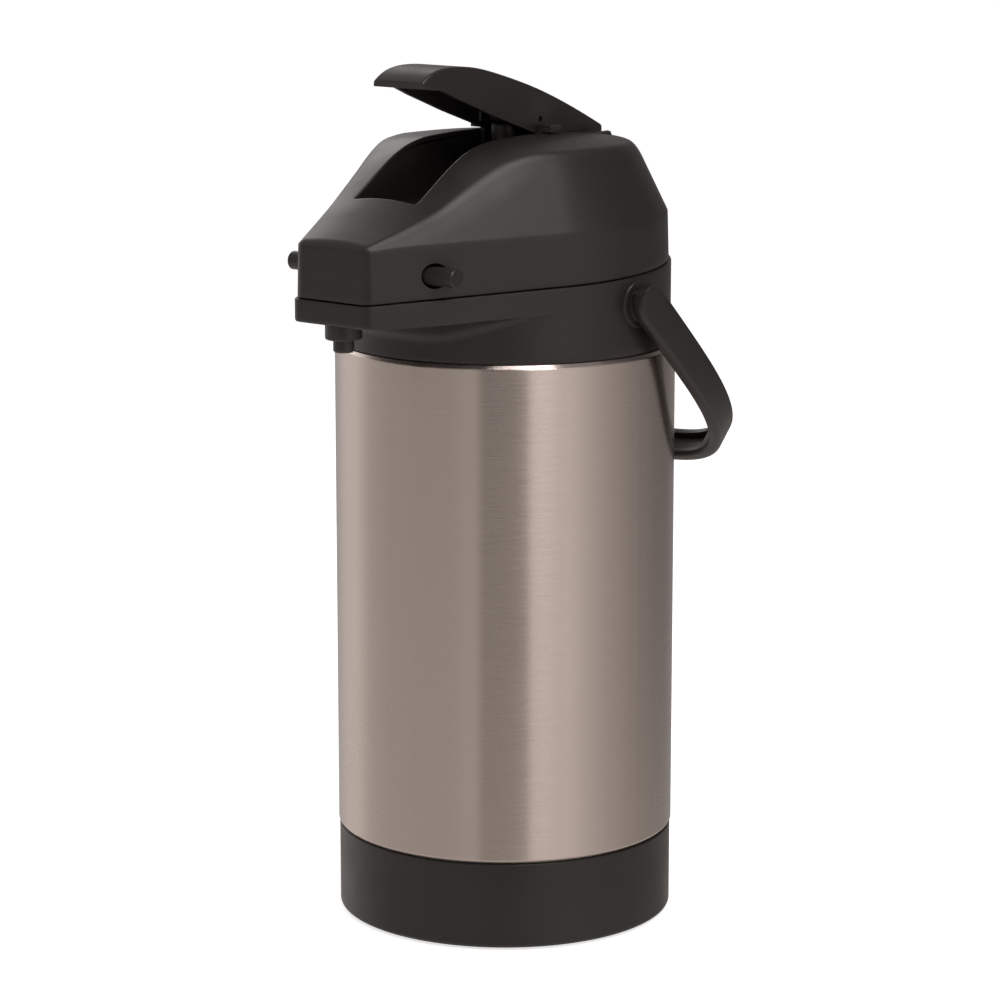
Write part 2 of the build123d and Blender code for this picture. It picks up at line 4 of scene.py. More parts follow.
import bmesh
import bpy
import numpy as np
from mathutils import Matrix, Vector


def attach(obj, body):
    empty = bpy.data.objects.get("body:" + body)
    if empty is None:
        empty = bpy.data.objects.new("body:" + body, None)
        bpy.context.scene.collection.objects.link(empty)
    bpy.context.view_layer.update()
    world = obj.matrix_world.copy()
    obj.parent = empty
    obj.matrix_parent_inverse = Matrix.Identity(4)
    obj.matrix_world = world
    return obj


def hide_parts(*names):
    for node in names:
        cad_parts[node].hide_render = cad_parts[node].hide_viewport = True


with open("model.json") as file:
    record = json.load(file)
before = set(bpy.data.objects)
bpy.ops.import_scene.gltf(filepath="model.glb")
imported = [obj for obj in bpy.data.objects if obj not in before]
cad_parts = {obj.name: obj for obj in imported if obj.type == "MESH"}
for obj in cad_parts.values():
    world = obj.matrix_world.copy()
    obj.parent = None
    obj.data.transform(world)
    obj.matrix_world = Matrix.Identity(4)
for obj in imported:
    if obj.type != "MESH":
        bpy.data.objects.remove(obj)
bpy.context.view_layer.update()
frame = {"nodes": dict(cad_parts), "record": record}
nodes = frame["nodes"]

MM = 0.001

# --- the camera and the studio -----------------------------------------------------------------
CAMERA_AZIMUTH = 40.0
CAMERA_ELEVATION = 11.42
CAMERA_DISTANCE = 1.7078
CAMERA_LENS = 125.57
CAMERA_SIDESTEP = -0.00241
AIM_HEIGHT = 0.2035
FLOOR_GLOW = 0.72

FLOOR_HALF = 60.0
# Strips of light round the horizon: (azimuth in degrees, brightness), 0 on the side the spout points to.
STUDIO_STRIPS = [
    (-180, 0.12), (-160, 0.22), (-128, 0.34), (-112, 0.50), (-96, 0.74), (-80, 0.80), (-64, 0.48),
    (-46, 0.37), (-20, 0.33), (2, 0.33), (18, 0.42), (22, 0.42), (24, 0.09), (55, 0.10), (57, 0.66),
    (70, 0.78), (84, 0.86), (98, 0.60), (114, 0.38), (138, 0.18), (162, 0.11), (180, 0.12),
]
# Each strip is slightly warm. Low down the strips fade into light from the table, high up into the dome.
STRIP_TINT = (1.0, 0.955, 0.925)
TABLE_LIGHT, TABLE_FADE = (0.68, 0.635, 0.60, 1), (-0.12, -0.50)
DOME_LIGHT, DOME_FADE = (0.30, 0.285, 0.29, 1), (0.35, 0.85)
# Softboxes: name, azimuth and elevation in degrees, width and height in metres, power in watts.
SOFTBOXES = [("key", 66, 46, 0.45, 0.6, 6), ("rim", 243, 28, 0.8, 0.55, 2.2), ("high", 60, 76, 0.8, 0.5, 6.5)]
SOFTBOX_DISTANCE, SOFTBOX_TARGET, SOFTBOX_TINT = 1.5, 0.25, (1, 0.97, 0.95)
SHARP_ANGLE = radians(40)
BEVEL_ANGLE = radians(35)


def toward(azimuth, elevation):
    """Unit vector from the object towards an azimuth and an elevation in degrees."""
    a, e = radians(azimuth), radians(elevation)
    return Vector((sin(a) * cos(e), -cos(a) * cos(e), sin(e)))


def aim(thing, target):
    """Points a camera or a lamp at a place."""
    thing.rotation_euler = (target - thing.location).to_track_quat("-Z", "Y").to_euler()


def make_camera():
    camera = bpy.data.objects.new("camera", bpy.data.cameras.new("camera"))
    bpy.context.scene.collection.objects.link(camera)
    a = radians(CAMERA_AZIMUTH)
    target = Vector((0, 0, AIM_HEIGHT)) + CAMERA_SIDESTEP * Vector((cos(a), sin(a), 0))
    camera.location = target + CAMERA_DISTANCE * toward(CAMERA_AZIMUTH, CAMERA_ELEVATION)
    aim(camera, target)
    camera.data.lens = CAMERA_LENS
    camera.data.clip_start = 0.05
    bpy.context.scene.camera = camera


def make_softbox(name, azimuth, elevation, width, height, power):
    lamp = bpy.data.objects.new(name, bpy.data.lights.new(name, "AREA"))
    bpy.context.scene.collection.objects.link(lamp)
    lamp.data.shape = "RECTANGLE"
    lamp.data.size = width
    lamp.data.size_y = height
    lamp.data.energy = power
    lamp.data.color = SOFTBOX_TINT
    target = Vector((0, 0, SOFTBOX_TARGET))
    lamp.location = target + SOFTBOX_DISTANCE * toward(azimuth, elevation)
    aim(lamp, target)


def set_inputs(tree, node, values):
    """Links each value that is a socket to its input, and sets the others as constants."""
    for key, value in dict(values).items():
        if isinstance(value, bpy.types.NodeSocket):
            tree.links.new(value, node.inputs[key])
        else:
            node.inputs[key].default_value = value


def add_node(tree, kind, settings=(), inputs=()):
    node = tree.nodes.new(kind)
    for key, value in dict(settings).items():
        setattr(node, key, value)
    set_inputs(tree, node, inputs)
    return node


def make_world():
    """A pale studio: strips of light and shade round the horizon for what shines, and plain white behind."""
    world = bpy.data.worlds.new("studio")
    bpy.context.scene.world = world
    world.use_nodes = True
    tree = world.node_tree
    tree.nodes.clear()

    def add(*what):
        return add_node(tree, *what)

    direction = add("ShaderNodeTexCoord").outputs["Generated"]
    split = add("ShaderNodeSeparateXYZ", (), {0: direction})
    back = add("ShaderNodeMath", {"operation": "MULTIPLY"}, {0: split.outputs["Y"], 1: -1.0})
    turn = add("ShaderNodeMath", {"operation": "ARCTAN2"}, {0: split.outputs["X"], 1: back.outputs[0]})
    place = add("ShaderNodeMapRange", (), {"Value": turn.outputs[0], "From Min": -pi, "From Max": pi})
    ramp = add("ShaderNodeValToRGB", (), {0: place.outputs[0]})
    stops = ramp.color_ramp.elements
    while len(stops) > 1:
        stops.remove(stops[-1])
    for index, (azimuth, level) in enumerate(STUDIO_STRIPS):
        stop = stops[0] if index == 0 else stops.new((azimuth + 180) / 360)
        stop.position = (azimuth + 180) / 360
        stop.color = (*(level * share for share in STRIP_TINT), 1)

    def fade(start, end):
        return add("ShaderNodeMapRange", {"interpolation_type": "SMOOTHSTEP"},
                   {"Value": split.outputs["Z"], "From Min": start, "From Max": end}).outputs[0]
    strips = add("ShaderNodeMixRGB", (), {0: fade(*TABLE_FADE), 1: ramp.outputs[0], 2: TABLE_LIGHT})
    dome = add("ShaderNodeMixRGB", (), {0: fade(*DOME_FADE), 1: strips.outputs[0], 2: DOME_LIGHT})
    seen = add("ShaderNodeLightPath").outputs["Is Camera Ray"]
    studio = add("ShaderNodeBackground", (), {"Color": dome.outputs[0], "Strength": 1.0})
    white = add("ShaderNodeBackground", (), {"Color": (1, 1, 1, 1), "Strength": 1.0})
    mix = add("ShaderNodeMixShader", (), {0: seen, 1: studio.outputs[0], 2: white.outputs[0]})
    add("ShaderNodeOutputWorld", (), {"Surface": mix.outputs[0]})


def make_floor():
    """A broad flat floor with a glow of its own, so that it runs on into the white behind it."""
    mesh = bpy.data.meshes.new("floor")
    corners = [(-1, -1), (1, -1), (1, 1), (-1, 1)]
    mesh.from_pydata([(x * FLOOR_HALF, y * FLOOR_HALF, 0) for x, y in corners], [], [(0, 1, 2, 3)])
    floor = bpy.data.objects.new("floor", mesh)
    bpy.context.scene.collection.objects.link(floor)
    graph = Graph("pale_floor")
    grain = graph.noise(90, detail=3)
    colour = graph.blend(grain, (0.93, 0.93, 0.93), (0.97, 0.97, 0.97))
    graph.finish(colour, roughness=graph.spread(grain, 0.75, 0.9), Emission_Strength=FLOOR_GLOW)
    graph.shader.inputs["Emission Color"].default_value = (1, 1, 1, 1)
    mesh.materials.append(graph.material)
    floor.visible_glossy = False


# --- materials ---------------------------------------------------------------------------------
class Graph:
    """A procedural material: its node tree, and short ways to add the nodes that the finishes share."""

    def __init__(self, name):
        self.material = bpy.data.materials.new(name)
        self.material.use_nodes = True
        self.tree = self.material.node_tree
        self.shader = self.tree.nodes["Principled BSDF"]
        self.place = self.add("ShaderNodeTexCoord").outputs["Object"]

    def add(self, *what):
        return add_node(self.tree, *what)

    def noise(self, scale, detail=2.0, rough=0.5, stretch=(1, 1, 1)):
        """Noise whose grain is about 1 / scale metres, stretched along the axes."""
        mapped = self.add("ShaderNodeMapping", (), {"Vector": self.place, "Scale": stretch})
        inputs = {"Vector": mapped.outputs[0], "Scale": scale, "Detail": detail, "Roughness": rough}
        return self.add("ShaderNodeTexNoise", (), inputs).outputs["Fac"]

    def spread(self, value, low, high, start=0.3, end=0.7):
        """Maps a value onto a range."""
        return self.add("ShaderNodeMapRange", (), {"Value": value, "From Min": start, "From Max": end,
                                                   "To Min": low, "To Max": high}).outputs[0]

    def blend(self, factor, first, second):
        """Mixes two colours."""
        def colour(value):
            return (*value, 1) if isinstance(value, tuple) else value
        return self.add("ShaderNodeMixRGB", (), {0: factor, 1: colour(first), 2: colour(second)}).outputs[0]

    def product(self, first, second):
        return self.add("ShaderNodeMath", {"operation": "MULTIPLY"}, {0: first, 1: second}).outputs[0]

    def total(self, first, second):
        return self.add("ShaderNodeMath", {"operation": "ADD"}, {0: first, 1: second}).outputs[0]

    def edges(self, start=0.53, end=0.60):
        """1 along convex edges, fading to 0 on flat faces."""
        point = self.add("ShaderNodeNewGeometry").outputs["Pointiness"]
        return self.add("ShaderNodeMapRange", {"interpolation_type": "SMOOTHSTEP"},
                        {"Value": point, "From Min": start, "From Max": end}).outputs[0]

    def bump(self, height, strength, depth, under=None):
        inputs = {"Height": height, "Strength": strength, "Distance": depth}
        if under is not None:
            inputs["Normal"] = under
        return self.add("ShaderNodeBump", (), inputs).outputs[0]

    def finish(self, colour, roughness, normal=None, **constants):
        wires = {"Base Color": colour, "Roughness": roughness}
        if normal is not None:
            wires["Normal"] = normal
        set_inputs(self.tree, self.shader, wires)
        for key, value in constants.items():
            self.shader.inputs[key.replace("_", " ")].default_value = value
        return self.material


def brushed_steel(name, light, dark, rough_low, rough_high, grain=1.0):
    """Stainless steel brushed round the body: long fine lines, slight staining, light spread up and down."""
    graph = Graph(name)
    fine = graph.noise(110 * grain, detail=4, rough=0.65, stretch=(1, 1, 34))
    long = graph.noise(30 * grain, detail=3, rough=0.6, stretch=(1, 1, 70))
    cloud = graph.noise(9, detail=3, rough=0.55)
    lines = graph.total(graph.product(fine, 0.6), graph.product(long, 0.4))
    tint = graph.blend(graph.spread(lines, 0, 1, 0.36, 0.64), dark, light)
    stain = graph.blend(graph.spread(cloud, 0.0, 0.10), tint, tuple(0.86 * c for c in dark))
    wear = graph.blend(graph.product(graph.edges(), 0.35), stain, tuple(min(1, 1.12 * c) for c in light))
    brushed = graph.spread(lines, rough_low, rough_high, 0.36, 0.64)
    rough = graph.total(brushed, graph.spread(cloud, -0.015, 0.02))
    normal = graph.bump(lines, 0.10, 0.00012)
    around = graph.add("ShaderNodeTangent", {"direction_type": "RADIAL", "axis": "Z"}).outputs[0]
    graph.tree.links.new(around, graph.shader.inputs["Tangent"])
    return graph.finish(wear, rough, normal, Metallic=1.0, Anisotropic=0.97, Anisotropic_Rotation=0.25)


def moulded_plastic(name, base, rough_low=0.34, rough_high=0.44, grain=1500, texture=0.16, wear=0.35):
    """Injection-moulded plastic: fine spark-eroded texture, faint flow marks, handling shine, paler edges."""
    graph = Graph(name)
    pores = graph.noise(grain, detail=3, rough=0.6)
    flow = graph.noise(16, detail=2, rough=0.5, stretch=(1, 1, 2.4))
    handling = graph.noise(38, detail=4, rough=0.6)
    tone = graph.blend(graph.spread(flow, 0, 1), tuple(0.90 * c for c in base), tuple(1.12 * c for c in base))
    dusted = graph.blend(graph.spread(pores, 0.0, 0.18), tone, tuple(1.5 * c + 0.004 for c in base))
    edged = graph.blend(graph.product(graph.edges(), wear), dusted, tuple(2.1 * c + 0.012 for c in base))
    rough = graph.total(graph.spread(handling, rough_low, rough_high), graph.spread(pores, -0.02, 0.03))
    ripple = graph.bump(graph.noise(55, detail=2), 0.05, 0.0004)
    normal = graph.bump(pores, texture, 0.00007, under=ripple)
    return graph.finish(edged, rough, normal, Specular_IOR_Level=0.42)


def rubbery(name, base, rough=0.7):
    """Matte rubber or silicone with a dusty bloom."""
    graph = Graph(name)
    grain = graph.noise(1100, detail=3)
    bloom = graph.noise(60, detail=4, rough=0.6)
    darker, lighter = (tuple(share * c for c in base) for share in (0.88, 1.12))
    tone = graph.blend(graph.spread(bloom, 0, 1), darker, lighter)
    normal = graph.bump(grain, 0.2, 0.00008)
    return graph.finish(tone, graph.spread(bloom, rough - 0.08, rough + 0.08), normal)


def natural_plastic(name, base):
    """Unpigmented polypropylene: milky, waxy and slightly translucent."""
    graph = Graph(name)
    cloud = graph.noise(45, detail=3)
    grain = graph.noise(900, detail=2)
    tone = graph.blend(graph.spread(cloud, 0, 1), tuple(0.93 * c for c in base), base)
    normal = graph.bump(grain, 0.08, 0.00008)
    made = graph.finish(tone, graph.spread(cloud, 0.36, 0.5), normal, Subsurface_Weight=0.25)
    graph.shader.inputs["Subsurface Radius"].default_value = (0.003, 0.003, 0.0025)
    return made


def plated_metal(name, base, rough_low, rough_high):
    """Drawn wire and plated screws: bright metal with fine scratches and dull patches."""
    graph = Graph(name)
    scratch = graph.noise(1600, detail=3, stretch=(1, 1, 0.2))
    patch = graph.noise(120, detail=4)
    tone = graph.blend(graph.spread(patch, 0, 1), tuple(0.8 * c for c in base), base)
    normal = graph.bump(scratch, 0.12, 0.00005)
    return graph.finish(tone, graph.spread(patch, rough_low, rough_high), normal, Metallic=1.0)


# Light and dark tones of the brushing.
OUTER_STEEL = (0.635, 0.545, 0.50), (0.585, 0.50, 0.458)
INNER_STEEL = (0.70, 0.69, 0.68), (0.60, 0.59, 0.58)


def make_materials():
    return {
        "brushed_steel": brushed_steel("brushed_steel", *OUTER_STEEL, 0.25, 0.30),
        "inner_steel": brushed_steel("inner_steel", *INNER_STEEL, 0.12, 0.2, grain=0.5),
        "black_plastic": moulded_plastic("black_plastic", (0.0125, 0.0100, 0.0088)),
        "lid_plastic": moulded_plastic("lid_plastic", (0.0135, 0.0108, 0.0100), 0.34, 0.43),
        "handle_plastic": moulded_plastic("handle_plastic", (0.0115, 0.0092, 0.0082), 0.36, 0.46),
        "button_plastic": moulded_plastic("button_plastic", (0.0155, 0.0128, 0.0115), 0.34, 0.42, grain=1900),
        "natural_plastic": natural_plastic("natural_plastic", (0.74, 0.73, 0.69)),
        "silicone": rubbery("silicone", (0.55, 0.55, 0.53), 0.55),
        "black_rubber": rubbery("black_rubber", (0.022, 0.022, 0.022)),
        "spring_steel": plated_metal("spring_steel", (0.68, 0.68, 0.69), 0.14, 0.26),
        "screw_steel": plated_metal("screw_steel", (0.60, 0.60, 0.61), 0.24, 0.40),
    }


def paint_nodes(materials):
    """Gives every CAD node the finish of its own slot."""
    for part in frame["record"]["subparts"]:
        mesh = nodes[part["node"]].data
        mesh.materials.clear()
        mesh.materials.append(materials[part["material_slot"]])


# --- shapes: helpers ---------------------------------------------------------------------------
def skin(name, rows, closed=True):
    """A smooth mesh over looped rows of points. closed joins last row to first, otherwise both get caps."""
    rows = np.asarray(rows, float)
    count, around = rows.shape[:2]
    faces = []
    for row in range(count if closed else count - 1):
        here, after = row * around, (row + 1) % count * around
        for point in range(around):
            beside = (point + 1) % around
            faces.append((here + point, here + beside, after + beside, after + point))
    if not closed:
        faces.append(tuple(range(around))[::-1])
        faces.append(tuple(range((count - 1) * around, count * around)))
    mesh = bpy.data.meshes.new(name)
    mesh.from_pydata((rows.reshape(-1, 3) * MM).tolist(), [], faces)
    work = bmesh.new()
    work.from_mesh(mesh)
    bmesh.ops.recalc_face_normals(work, faces=work.faces)
    work.to_mesh(mesh)
    work.free()
    return add_piece(name, mesh)


def smooth(mesh):
    mesh.shade_smooth()
    mesh.set_sharp_from_angle(angle=SHARP_ANGLE)


def add_piece(name, mesh):
    piece = bpy.data.objects.new(name, mesh)
    bpy.context.scene.collection.objects.link(piece)
    smooth(mesh)
    return piece


def settle(piece):
    """Applies a piece's modifiers to its mesh."""
    bpy.context.view_layer.update()
    made = bpy.data.meshes.new_from_object(piece.evaluated_get(bpy.context.evaluated_depsgraph_get()))
    piece.modifiers.clear()
    piece.data = made
    smooth(made)


def finish_piece(piece, body, slot, materials, *stands_for):
    """Paints a piece, puts it on its body and hides the CAD node that it stands for."""
    piece.data.materials.clear()
    piece.data.materials.append(materials[slot])
    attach(piece, body)
    if stands_for:
        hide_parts(*stands_for)


def lathe(name, centre, direction, outline, steps=72):
    """Turns an outline of (radius, distance) points round an axis through centre."""
    direction = Vector(direction).normalized()
    first = direction.orthogonal().normalized()
    second = direction.cross(first)
    rows = []
    for radius, reach in outline:
        row = []
        for step in range(steps):
            a = 2 * pi * step / steps
            row.append(Vector(centre) + reach * direction + radius * (cos(a) * first + sin(a) * second))
        rows.append(row)
    return skin(name, rows, closed=False)


def plate(name, outline, low, high, bevel):
    """A plate whose (y, z) outline is extruded from x = low to x = high, with its edges rounded."""
    rows = [[(x, y, z) for y, z in outline] for x in (low, high)]
    piece = skin(name, rows, closed=False)
    rounding = piece.modifiers.new("rounding", "BEVEL")
    rounding.width = bevel * MM
    rounding.segments = 3
    rounding.limit_method = "ANGLE"
    rounding.angle_limit = BEVEL_ANGLE
    settle(piece)
    return piece


# --- shapes: the head's plan outline -----------------------------------------------------------
# Points along each stretch of half an outline, from the nose to the back. The recess's edge has as many.
NOSE_POINTS, CORNER_POINTS, WALL_POINTS, ARC_POINTS, TURN_POINTS, BACK_POINTS = 12, 8, 60, 70, 8, 12
TURN_START, TURN_END = radians(74), radians(78)


class Outline:
    """Plan of the head: a round back whose tangents run forward to a flat nose with rounded corners."""

    def __init__(self, radius, front, half, corner):
        self.radius, self.front, self.corner = radius, front, corner
        self.normal = atan2(-front, half) + acos(radius / hypot(front, half))

    def depth(self, x, y):
        """How far inside the outline a place is."""
        x = np.abs(x)
        wall = self.radius - (x * cos(self.normal) + y * sin(self.normal))
        arc = self.radius - np.hypot(x, y)
        side = np.where(np.arctan2(y, x) > self.normal, arc, wall)
        nose = self.front + y
        corner = self.corner - np.hypot(self.corner - side, self.corner - nose)
        return np.where((side < self.corner) & (nose < self.corner), corner, np.minimum(side, nose))

    def loop(self, out):
        """Points round the outline, moved outwards: half a loop from nose to back, then its mirror."""
        radius, front, corner = self.radius + out, self.front + out, self.corner + out
        c, s = cos(self.normal), sin(self.normal)

        def place(side, nose):
            y = nose - front
            return ((radius - side - y * s) / c, y)
        points = [(x, -front) for x in np.linspace(0, place(corner, 0)[0], NOSE_POINTS, endpoint=False)]
        for step in range(CORNER_POINTS):
            a = pi / 2 * step / CORNER_POINTS
            points.append(place(corner * (1 - sin(a)), corner * (1 - cos(a))))
        start, end = place(0, corner), (radius * c, radius * s)
        for share in np.linspace(0, 1, WALL_POINTS, endpoint=False):
            points.append(tuple(np.add(start, share * np.subtract(end, start))))
        for a in np.concatenate([np.linspace(self.normal, TURN_START, ARC_POINTS, endpoint=False),
                                 np.linspace(TURN_START, TURN_END, TURN_POINTS, endpoint=False),
                                 np.linspace(TURN_END, pi / 2, BACK_POINTS)]):
            points.append((radius * cos(a), radius * sin(a)))
        return mirrored(points)


def mirrored(points):
    """Closes half a loop, from the front of the middle plane to its back, with its mirror image."""
    return np.array(points + [(-x, y) for x, y in reversed(points[1:-1])])


# --- shapes: the lid ---------------------------------------------------------------------------
BUTTON_Y, BUTTON_Z = -94.6, 327.0
# (radius, distance from the middle) of the tool that cuts a button's hole.
BUTTON_HOLE = [(0.01, 28), (5.9, 28), (5.9, 60), (0.01, 60)]
HINGE_Y, HINGE_Z, KNUCKLE_RADIUS = 86.0, 324.6, 4.2
# The knuckles' webs: their wall, the gap to the other half, the step back, and the drop of the collar's.
WEB_WALL, WEB_GAP, WEB_STEP, WEB_DROP = 76.6, 0.8, 4.15, 9
# Half the width of the lid's knuckle, and where each of the collar's starts and ends.
LID_KNUCKLE, COLLAR_KNUCKLE, KNUCKLE_BEVEL = 12.5, (13.1, 21), 0.5
LID_OUTLINE = Outline(78.3, 123.4, 21.4, 2.6)
LID_WALL = 2.4
CREASE_HEIGHT, CREASE_SLOPE = 344.6, 0.035
FACET_SLOPE = 1 / tan(radians(25.6))
DRAFT = tan(radians(1.6))
SEAM_HEIGHT, SEAM_SLOPE, SEAM_GAP = 320.5, 0.048, 0.5
RECESS_HALF, RECESS_FRONT, RECESS_BACK, RECESS_CORNER = 19.0, -86.7, 57.5, 1.2
RECESS_MIDDLE = -28.0
# Rounding of the recess's lip: (distance out from the edge, depth below the top).
LIP_ROUNDING = ((0, 0.9), (0.12, 0.45), (0.4, 0.13), (0.9, 0))
# Roof sections: (distance behind the axis, height at the middle, crown radius across).
ROOF = [
    (-140, 335.6, 240), (-122, 342.2, 220), (-104, 350.1, 150), (-86, 359.4, 118), (-70, 370.6, 98),
    (-58, 378.0, 104), (-48, 381.6, 160), (-36, 383.6, 270), (-10, 384.6, 380), (15, 384.0, 420),
    (36, 382.6, 400), (60, 379.6, 380), (90, 373, 360),
]


# How wide the rounding is where roof and facet meet: places behind the axis, and the width at each.
RIDGE_BLEND = ((-120, -60, -20, 30, 70), (5.0, 8.5, 7.0, 6.0, 10.0))


def smooth_curve(places, values, width=4.0):
    """Values between given places, with the corners of the line rounded off."""
    grid = np.arange(places[0], places[-1], 0.5)
    reach = int(6 * width)
    weights = np.exp(-0.5 * (np.arange(-reach, reach + 1) * 0.5 / width) ** 2)
    line = np.pad(np.interp(grid, places, values), reach, mode="edge")
    return grid, np.convolve(line, weights / weights.sum(), mode="valid")


ROOF_HEIGHT = smooth_curve([s[0] for s in ROOF], [s[1] for s in ROOF])
ROOF_BEND = smooth_curve([s[0] for s in ROOF], [1 / s[2] for s in ROOF])


def lid_top(points, drop=0.0):
    """Height of the lid over plan points: leaning facets and crowned roof, blended where they meet."""
    x, y = points[:, 0], points[:, 1]
    roof = np.interp(y, *ROOF_HEIGHT) - x * x / 2 * np.interp(y, *ROOF_BEND) - drop
    facet = CREASE_HEIGHT + CREASE_SLOPE * y + FACET_SLOPE * (LID_OUTLINE.depth(x, y) - drop)
    blend = np.interp(y, *RIDGE_BLEND)
    share = np.clip(0.5 + 0.5 * (roof - facet) / blend, 0, 1)
    return roof * (1 - share) + facet * share - blend * share * (1 - share)


def recess_loop(out):
    """Edge of the lever recess, moved outwards, with as many points as the head's outline."""
    half, front, back = RECESS_HALF + out, RECESS_FRONT - out, RECESS_BACK + out
    corner = RECESS_CORNER + out
    points = [(x, front) for x in np.linspace(0, half - corner, NOSE_POINTS, endpoint=False)]
    for a in np.linspace(-pi / 2, 0, CORNER_POINTS, endpoint=False):
        points.append((half - corner + corner * cos(a), front + corner + corner * sin(a)))
    for y in np.concatenate([np.linspace(front + corner, RECESS_MIDDLE, WALL_POINTS, endpoint=False),
                             np.linspace(RECESS_MIDDLE, back - corner, ARC_POINTS, endpoint=False)]):
        points.append((half, y))
    for a in np.linspace(0, pi / 2, TURN_POINTS, endpoint=False):
        points.append((half - corner + corner * cos(a), back - corner + corner * sin(a)))
    points += [(x, back) for x in np.linspace(half - corner, 0, BACK_POINTS)]
    return mirrored(points)


def with_height(points, height):
    return np.column_stack([points, np.broadcast_to(height, len(points))])


def make_lid(materials):
    """The lid's moulded shell: lip, crowned roof, facets, drafted skirt and the inside of its wall."""
    rows = []
    for out, down in ((0, LID_WALL), *LIP_ROUNDING):
        loop = recess_loop(out)
        rows.append(with_height(loop, lid_top(loop) - down))
    inner, outer = recess_loop(LIP_ROUNDING[-1][0]), LID_OUTLINE.loop(0)
    for share in np.linspace(0, 1, 81)[1:]:
        loop = inner + share * (outer - inner)
        rows.append(with_height(loop, lid_top(loop)))
    crease = CREASE_HEIGHT + CREASE_SLOPE * outer[:, 1]
    seam = SEAM_HEIGHT + SEAM_GAP + SEAM_SLOPE * outer[:, 1]
    spread = DRAFT * float(np.mean(crease - seam))
    for share in np.linspace(0, 1, 10)[1:]:
        rows.append(with_height(LID_OUTLINE.loop(share * spread), crease + share * (seam + 0.6 - crease)))
    for out, up in ((spread - 0.15, 0.15), (spread - 0.6, 0), (-LID_WALL, 0)):
        rows.append(with_height(LID_OUTLINE.loop(out), seam + up))
    rows.append(with_height(LID_OUTLINE.loop(-LID_WALL), crease - 1))
    inside, lip = LID_OUTLINE.loop(-LID_WALL - 0.2), recess_loop(0.3)
    for share in np.linspace(0, 1, 24):
        loop = inside + share * (lip - inside)
        rows.append(with_height(loop, lid_top(loop, LID_WALL)))
    lid = skin("lid_moulding", rows)
    for side in (1, -1):
        cutter = lathe("cutter", (0, BUTTON_Y, BUTTON_Z), (side, 0, 0), BUTTON_HOLE)
        cut = lid.modifiers.new("button_hole", "BOOLEAN")
        cut.operation = "DIFFERENCE"
        cut.solver = "EXACT"
        cut.object = cutter
        settle(lid)
        bpy.data.objects.remove(cutter)
    finish_piece(lid, "lid", "lid_plastic", materials, "lid_shell")
    knuckle = plate("lid_knuckle", knuckle_outline(up=True), -LID_KNUCKLE, LID_KNUCKLE, KNUCKLE_BEVEL)
    finish_piece(knuckle, "lid", "lid_plastic", materials)




def knuckle_outline(up):
    """(y, z) outline of a hinge knuckle with its web: up for the lid's, down for the collar's."""
    side = 1 if up else -1
    points = [(HINGE_Y + KNUCKLE_RADIUS * cos(a), HINGE_Z + KNUCKLE_RADIUS * sin(a) * side)
              for a in np.linspace(-pi, pi / 2, 26)]
    reach = KNUCKLE_RADIUS if up else WEB_DROP
    near = HINGE_Z + side * WEB_GAP
    return points + [(WEB_WALL, HINGE_Z + side * reach), (WEB_WALL, near), (HINGE_Y - WEB_STEP, near)]


# --- shapes: the collar ------------------------------------------------------------------------
COLLAR_OUTLINE = Outline(80.2, 125.0, 22.5, 2.6)
COLLAR_FOOT = 283.2
NECK_INSIDE = 77.0
FLANGE_INSIDE = 52.0
COVE_WIDTH, COVE_DEPTH, COVE_SPREAD = 27.0, 12.3, 13.0
NOSE_FLOOR = 303.8
HANDLE_Y, HANDLE_Z = 2.0, 307.5
# (radius, distance from the middle) of the stepped boss that the handle turns on.
BOSS_OUTLINE = [
    (3.1, 76), (11.2, 76), (11.2, 80.3), (10.9, 80.8), (10.3, 81.0), (8.6, 81.0), (8.2, 81.2),
    (8.2, 82.2), (7.9, 82.55), (3.1, 82.6),
]


